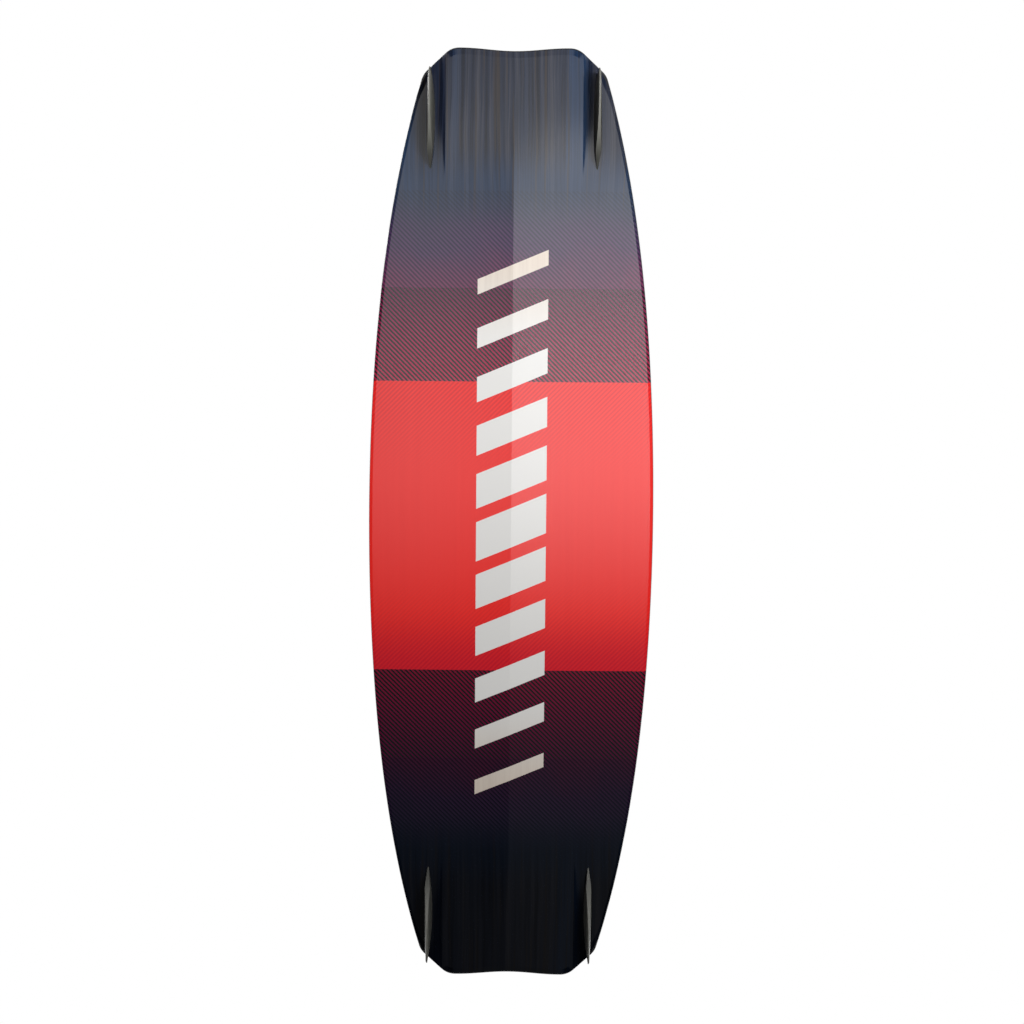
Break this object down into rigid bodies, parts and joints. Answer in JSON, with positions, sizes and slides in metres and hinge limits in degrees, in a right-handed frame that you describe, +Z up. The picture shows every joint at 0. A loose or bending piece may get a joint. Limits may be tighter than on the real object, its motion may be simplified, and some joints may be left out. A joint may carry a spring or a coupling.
{
  "type": "kiteboard",
  "caption": "Twin-tip kiteboard with stepped tips, outboard fins, a centre grab handle and a swivelling foam pad with tilting foot strap at each end.",
  "frame": {"origin": "on the floor under the middle of the board, level with the flats of the four fins", "axes": "+X along the board towards the nose, +Y across it towards the left rail, +Z up out of the deck; the base and fins face -Z"},
  "size_m": [1.38, 0.415, 0.1199],
  "materials": {
    "core_wood": "satin",
    "rail": "satin",
    "base_print": "gloss",
    "deck_print": "satin",
    "fin_plastic": "satin",
    "brass_insert": "satin",
    "screw_steel": "satin",
    "washer_steel": "satin",
    "handle_rubber": "matte",
    "plate_plastic": "satin",
    "pad_foam": "matte",
    "strap_lining": "matte",
    "strap_webbing": "matte",
    "strap_flap": "matte"
  },
  "bodies": {
    "board": {"core": "core_wood", "rail_left": "rail", "rail_right": "rail", "base_laminate": "base_print", "deck_laminate": "deck_print", "fin_nose_left": "fin_plastic", "fin_nose_right": "fin_plastic", "fin_tail_left": "fin_plastic", "fin_tail_right": "fin_plastic", "fin_inserts": "brass_insert", "fin_screws": "screw_steel", "fin_washers": "washer_steel", "deck_inserts": "brass_insert", "handle_inserts": "brass_insert", "handle": "handle_rubber", "handle_screws": "screw_steel", "handle_washers": "washer_steel", "pad_screws": "screw_steel", "pad_washers": "washer_steel"},
    "nose_pad": {"pad_plate_nose": "plate_plastic", "footpad_nose": "pad_foam", "strap_nuts_nose": "brass_insert", "strap_screws_nose": "screw_steel"},
    "nose_strap": {"strap_foam_nose": "strap_lining", "strap_band_nose": "strap_webbing"},
    "nose_flap": {"strap_flap_nose": "strap_flap"},
    "tail_pad": {"pad_plate_tail": "plate_plastic", "footpad_tail": "pad_foam", "strap_nuts_tail": "brass_insert", "strap_screws_tail": "screw_steel"},
    "tail_strap": {"strap_foam_tail": "strap_lining", "strap_band_tail": "strap_webbing"},
    "tail_flap": {"strap_flap_tail": "strap_flap"}
  },
  "joints": [
    {"name": "nose_stance_angle", "type": "hinge", "parent": "board", "child": "nose_pad", "pos_m": [0.255, 0, 0.02844], "axis": [-0.0385, 0, 0.9993], "range_deg": [-15, 15]},
    {"name": "nose_strap_tilt", "type": "hinge", "parent": "nose_pad", "child": "nose_strap", "pos_m": [0.25427, 0, 0.04743], "axis": [0.9993, 0, 0.0385], "range_deg": [-20, 20]},
    {"name": "nose_flap_open", "type": "hinge", "parent": "nose_strap", "child": "nose_flap", "pos_m": [0.31064, 0, 0.09655], "axis": [0, 1, 0], "range_deg": [0, 95]},
    {"name": "tail_stance_angle", "type": "hinge", "parent": "board", "child": "tail_pad", "pos_m": [-0.255, 0, 0.02844], "axis": [0.0385, 0, 0.9993], "range_deg": [-15, 15]},
    {"name": "tail_strap_tilt", "type": "hinge", "parent": "tail_pad", "child": "tail_strap", "pos_m": [-0.25427, 0, 0.04743], "axis": [0.9993, 0, -0.0385], "range_deg": [-20, 20]},
    {"name": "tail_flap_open", "type": "hinge", "parent": "tail_strap", "child": "tail_flap", "pos_m": [-0.31064, 0, 0.09655], "axis": [0, -1, 0], "range_deg": [0, 95]}
  ]
}
